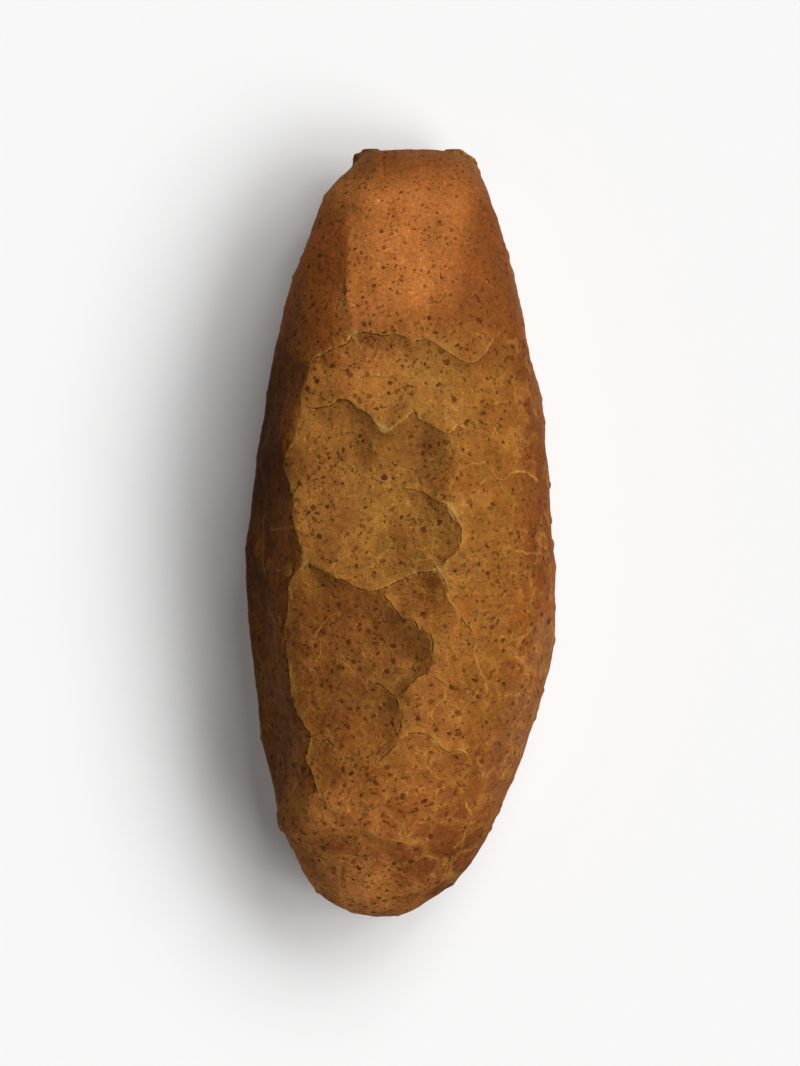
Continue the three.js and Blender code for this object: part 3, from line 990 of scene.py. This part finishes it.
lip = zone(gap, (-0.4 - 2.4 * torn, 0.0), (0.3 + 0.9 * torn, 0.0)) * torn * frayed
broken = zone(paint.noise(place, 5, 2.0), (0.34, 0.44))
dark_line = zone(abs(gap), LINE_WIDTH) * marked * (0.35 + 0.65 * zone(kept("crack_cut"), LINE_CUT)) * broken
dark_line = dark_line * (1 - 0.6 * zone(torn, (0.2, 0.9)))
tone = lay(tone, ((TORN_CRUMB, 0.8, lip), (CRACK_DARK, 0.9, dark_line)))
print("crumb and dark lines")

# %% [markdown]
# The torn ears are a little redder than the crust around them. Their rim is darkened with painted shade,
# where each ear stands off the crust. On the right one the crust came away, and pale crumb shows in spots on
# its upper part.

# %% Tones of the ears
EAR_BROWN = colour(146, 78, 30)

ear = kept("ear")
crumbs = zone(paint.noise(place, 1.8, 2.0), (0.42, 0.66))
tone = lay(tone, (
    (EAR_BROWN, 0.35, ear),
    (TORN_CRUMB, 0.7, ear * zone(across, (14, 18)) * zone(height, (16, 21)) * crumbs),
    # Painted shade along the rim of each ear.
    (CRACK_DARK, 0.35, 4 * ear * (1 - ear)),
))
print("tones of the ears")

# %% [markdown]
# Baked crust is dry, so it is rough and hardly shines. The clouds vary the roughness, and a small bump gives
# the grain that is too fine for the mesh.

# %% Surface of the crust
LEAST_ROUGH = 0.62
COARSE_SIZE = 3.2
BUMP_STRENGTH = 0.65
BUMP_DEPTH = 0.5 * MM
SHINE = 0.03

rough = LEAST_ROUGH + 0.25 * clouds + 0.1 * flecks
level = 0.5 * fine + 0.25 * speckle + 0.8 * paint.noise(place, COARSE_SIZE, 3.0)
level = level - 0.2 * pale_hairs - 0.3 * creases - 0.2 * bits
bump = paint.make("ShaderNodeBump", {}, {"Strength": BUMP_STRENGTH, "Distance": BUMP_DEPTH, "Height": level})
skin = paint.make("ShaderNodeBsdfPrincipled", {}, {
    "Base Color": tone, "Roughness": rough, "Normal": bump, "Specular IOR Level": SHINE})
output = bran_crust.node_tree.nodes.new("ShaderNodeOutputMaterial")
bran_crust.node_tree.links.new(skin.socket, output.inputs["Surface"])
print("crust material has", len(bran_crust.node_tree.nodes), "nodes")

# %% [markdown]
# Now the relief tree runs on the fine skin with its sizes. The dressed crust stays inside the box of the
# solid, rides on the loaf's one body and stands for the solid.

# %% The dressed crust
run_tree(crust, relief, {
    "Cracks": crack_points, "Groove Depth": 0.5 * MM, "Groove Width": 0.3 * MM, "Lip Height": 0.25 * MM,
    "Lip Reach": 2.0 * MM, "Sink Depth": 0.55 * MM, "Sink Reach": 3.0 * MM, "Lump Height": 0.8 * MM,
    "Nub Height": 0.6 * MM, "Pore Depth": 0.25 * MM, "Ear Height": 1.6 * MM, "Crust": bran_crust})
bpy.data.objects.remove(crack_points)


def keep_inside(piece):
    """Holds a piece inside the box of the solid."""
    corners = np.empty(len(piece.data.vertices) * 3)
    piece.data.vertices.foreach_get("co", corners)
    corners = np.clip(corners.reshape(-1, 3), np.array(cad_low), np.array(cad_high))
    piece.data.vertices.foreach_set("co", corners.ravel())
    piece.data.update()


keep_inside(crust)
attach(crust, "root")
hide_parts("bran_loaf")
print("crust", len(crust.data.polygons), "triangles")

# %% [markdown]
# ## Bran flakes in the crust
# Bran is the skin of the grain. It lies in the crust as flat, uneven flakes of one to three millimetres.
# Painted spots would do from afar, but a flake also catches the light. Here a Geometry Nodes tree scatters
# one small flat flake over the crust, turns and sizes each at random, makes it uneven with noise, and
# presses it onto the skin with its rim sunk in. The flakes wear the crust's own material: they copy what
# the crust knows about its cracks, and their own bran value darkens them from the rim inwards.

# %% One flake
FLAKE_SIDES = 7
FLAKE_CORE = 0.5
CORE_BRAN = 0.6

turns = [2 * math.pi * side / FLAKE_SIDES for side in range(FLAKE_SIDES)]
flake_corners = [(0, 0, 0)]
for radius in (FLAKE_CORE, 1.0):
    flake_corners += [(radius * math.cos(turn), radius * math.sin(turn), 0) for turn in turns]
flake_faces = []
for side in range(FLAKE_SIDES):
    inner = 1 + side
    next_inner = 1 + (side + 1) % FLAKE_SIDES
    flake_faces.append((0, inner, next_inner))
    flake_faces.append((inner, inner + FLAKE_SIDES, next_inner + FLAKE_SIDES, next_inner))
flake_mesh = bpy.data.meshes.new("flake")
flake_mesh.from_pydata(flake_corners, [], flake_faces)
core = flake_mesh.attributes.new("bran", "FLOAT", "POINT")
core.data.foreach_set("value", [1.0] + [CORE_BRAN] * FLAKE_SIDES + [0.0] * FLAKE_SIDES)
flake = mesh_object("flake", flake_mesh)
print("one flake has", len(flake_faces), "faces")

# %% [markdown]
# The tree strews points over the crust, more in some places than in others. Below the widest line they thin
# out, so that the base has none, and towards the far end they are fewer, as on the real loaf. Flakes could
# be placed by hand, but there are thousands.

# %% The scatter tree
CROWD_SIZE = 9 * MM
CROWD_LEVELS = (0.35, 0.62)
LEAST_CROWD = 0.4
FLAKE_UP = (-0.5, 0.1)
FLAKE_FAR = (60 * MM, 90 * MM)
FAR_FEWER = 0.1
FAR_SMALLER = 0.2
FLAKE_WIDTHS = (0.45, 1.0)
FLAKE_STRENGTHS = (0.45, 1.0)

scatter, nodes, given = geometry_tree("bran_scatter", {
    "Flake": OBJECT, "Density": FLOAT, "Least Radius": FLOAT, "Most Radius": FLOAT, "Rise": FLOAT,
    "Seed": INTEGER, "Crust": MATERIAL})
here = nodes.make("GeometryNodeInputPosition")
outward = nodes.make("GeometryNodeInputNormal")
skin_mesh = given["Geometry"]


def chance(least, most, turn):
    """A random number for each flake. The turn keeps the draws apart."""
    sockets = {2: least, 3: most, "Seed": given["Seed"] + turn}
    return nodes.make("FunctionNodeRandomValue", {"data_type": "FLOAT"}, sockets, out=1)


far = nodes.smooth(nodes.part(here, "Y"), *FLAKE_FAR)
crowd = nodes.smooth(nodes.noise(here, CROWD_SIZE, 2.0), *CROWD_LEVELS)
topside = nodes.smooth(named("FLOAT", "upward"), *FLAKE_UP)
density = given["Density"] * (LEAST_CROWD + (1 - LEAST_CROWD) * crowd) * topside * (1 - FAR_FEWER * far)
points = nodes.make(
    "GeometryNodeDistributePointsOnFaces", {"distribute_method": "RANDOM"},
    {"Mesh": skin_mesh, "Density": density, "Seed": given["Seed"]})
print("scatter tree strews points with", len(scatter.nodes), "nodes")

# %% [markdown]
# Each point gets one flake. A random turn, a radius and a width make each flake its own. Squaring the random
# draw gives many small flakes and few large ones, and towards the far end all of them are smaller.

# %% A flake on each point
angle = chance(0, 2 * math.pi, 1)
spin = nodes.make("FunctionNodeAxisAngleToRotation", {}, {"Axis": (0, 0, 1), "Angle": angle})
facing = nodes.make(
    "FunctionNodeRotateRotation", {"rotation_space": "LOCAL"}, {0: points.other("Rotation"), 1: spin})
draw = chance(0, 1, 2)
span = given["Most Radius"] - given["Least Radius"]
radius = (given["Least Radius"] + span * draw * draw) * (1 - FAR_SMALLER * far)
sizes = nodes.make("ShaderNodeCombineXYZ", {}, {0: radius, 1: radius * chance(*FLAKE_WIDTHS, 3), 2: 1.0})
one_flake = nodes.make("GeometryNodeObjectInfo", {}, {"Object": given["Flake"]}, out="Geometry")
shape = nodes.make(
    "GeometryNodeInstanceOnPoints", {},
    {"Points": points, "Instance": one_flake, "Rotation": facing, "Scale": sizes})
shape = stored(nodes, shape, "strength", chance(*FLAKE_STRENGTHS, 4), "INSTANCE")
shape = nodes.make("GeometryNodeRealizeInstances", {}, {0: shape})
print("scatter tree has", len(scatter.nodes), "nodes")

# %% [markdown]
# A flat flake would stand off the round crust, so each of its corners is moved to the nearest place on the
# skin. Noise moves that place about first, which frays the outline. The middle stands a hair above the skin
# and the rim lies below it.

# %% Flakes pressed onto the crust
FLAKE_WAVES = ((2.2 * MM, 0.9 * MM), (0.8 * MM, 0.3 * MM))
RIM_SUNK = 0.4


def on_skin(kind, value, where):
    """A value of the crust at the place nearest to this one."""
    sockets = {"Mesh": skin_mesh, "Value": value, "Sample Position": where}
    return nodes.make("GeometryNodeSampleNearestSurface", {"data_type": kind}, sockets)


rise = given["Rise"] * (named("FLOAT", "bran") - RIM_SUNK)
frayed_place = nodes.wander(here, *FLAKE_WAVES)
lift = nodes.vector("SCALE", on_skin("FLOAT_VECTOR", outward, frayed_place), scale=rise)
pressed = nodes.vector("ADD", on_skin("FLOAT_VECTOR", here, frayed_place), lift)
shape = nodes.make("GeometryNodeSetPosition", {}, {"Geometry": shape, "Position": pressed})
for name in crust_notes:
    shape = stored(nodes, shape, name, on_skin("FLOAT", named("FLOAT", name), here))
finish_tree(scatter, nodes, shape, given["Crust"])
flakes = mesh_object("bran_flakes", crust.data.copy())
run_tree(flakes, scatter, {
    "Flake": flake, "Density": 135000.0, "Least Radius": 0.45 * MM, "Most Radius": 2.0 * MM,
    "Rise": 0.12 * MM, "Seed": 11, "Crust": bran_crust})
bpy.data.objects.remove(flake)
keep_inside(flakes)
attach(flakes, "root")
print("bran flakes", len(flakes.data.polygons), "faces")

# %% [markdown]
# ## The floor
# The loaf lies on a plain pale floor. It glows a little, as a white studio floor does in a bright picture.
# It lies a hair below the base, because two faces at one height flicker in a render.

# %% Floor
WHITE = (1, 1, 1, 1)
FLOOR_REACH = 3.0
FLOOR_DROP = 0.05 * MM
FLOOR_GREY = (0.72, 0.72, 0.72, 1)
FLOOR_GLOW = 0.1

floor_mesh = bpy.data.meshes.new("floor")
floor_mesh.from_pydata(
    [(x, y, 0) for x, y in ((-1, -1), (1, -1), (1, 1), (-1, 1))], [], [(0, 1, 2, 3)])
floor_mesh.transform(Matrix.Scale(FLOOR_REACH, 4))
floor = mesh_object("floor", floor_mesh)
floor.location.z = -FLOOR_DROP
pale = bpy.data.materials.new("pale_floor")
pale.use_nodes = True
pale_skin = pale.node_tree.nodes["Principled BSDF"]
for socket, setting in {
    "Base Color": FLOOR_GREY, "Roughness": 1.0, "Specular IOR Level": 0.0,
    "Emission Color": WHITE, "Emission Strength": FLOOR_GLOW,
}.items():
    pale_skin.inputs[socket].default_value = setting
floor_mesh.materials.append(pale)
print("floor", 2 * FLOOR_REACH, "m wide")

# %% [markdown]
# ## The light
# A row of soft suns on the right, turned a little towards the far end, stands in for one long lamp. Together
# they give the wide shadow on the left that fades at both ends, and a dim sky fills it. One area lamp would
# do the same, but it would also darken the floor with distance.

# %% Light
SUN_HEIGHT = math.radians(43)
SUN_TURNS = (-35, -10, 15, 40, 65)
SUN_ENERGY = 5.05
SUN_ANGLE = math.radians(28)
SKY_STRENGTH = 0.07

flat = math.cos(SUN_HEIGHT)
for number, degrees in enumerate(SUN_TURNS):
    turn = math.radians(degrees)
    sun_data = bpy.data.lights.new(f"soft_sun_{number}", "SUN")
    sun_data.energy = SUN_ENERGY / len(SUN_TURNS)
    sun_data.angle = SUN_ANGLE
    sun = bpy.data.objects.new(f"soft_sun_{number}", sun_data)
    scene.collection.objects.link(sun)
    to_sun = Vector((flat * math.cos(turn), flat * math.sin(turn), math.sin(SUN_HEIGHT)))
    sun.rotation_euler = to_sun.to_track_quat("Z", "Y").to_euler()
world = bpy.data.worlds.new("dim_sky")
world.use_nodes = True
sky = world.node_tree.nodes["Background"]
sky.inputs["Color"].default_value = WHITE
sky.inputs["Strength"].default_value = SKY_STRENGTH
scene.world = world
scene.view_settings.view_transform = "Standard"
print(len(SUN_TURNS), "soft suns and a dim sky")

# %% [markdown]
# ## The camera
# The camera looks straight down at the loaf from far off through a long lens, so that the sides hardly lean.
# Its distance comes from the height of the frame at the widest part of the loaf.

# %% Camera
LENS = 185.0
SENSOR = 36.0
FRAME_PIXELS = 1066
PIXEL = 0.365 * MM
BELLY = 24 * MM
FAR_CLIP = 20

camera_data = bpy.data.cameras.new("camera")
camera_data.lens = LENS
camera_data.sensor_width = SENSOR
camera_data.clip_end = FAR_CLIP
camera = bpy.data.objects.new("camera", camera_data)
camera.location = (0, 0, BELLY + FRAME_PIXELS * PIXEL * LENS / SENSOR)
scene.collection.objects.link(camera)
scene.camera = camera
print("camera", round(camera.location.z, 3), "m up")
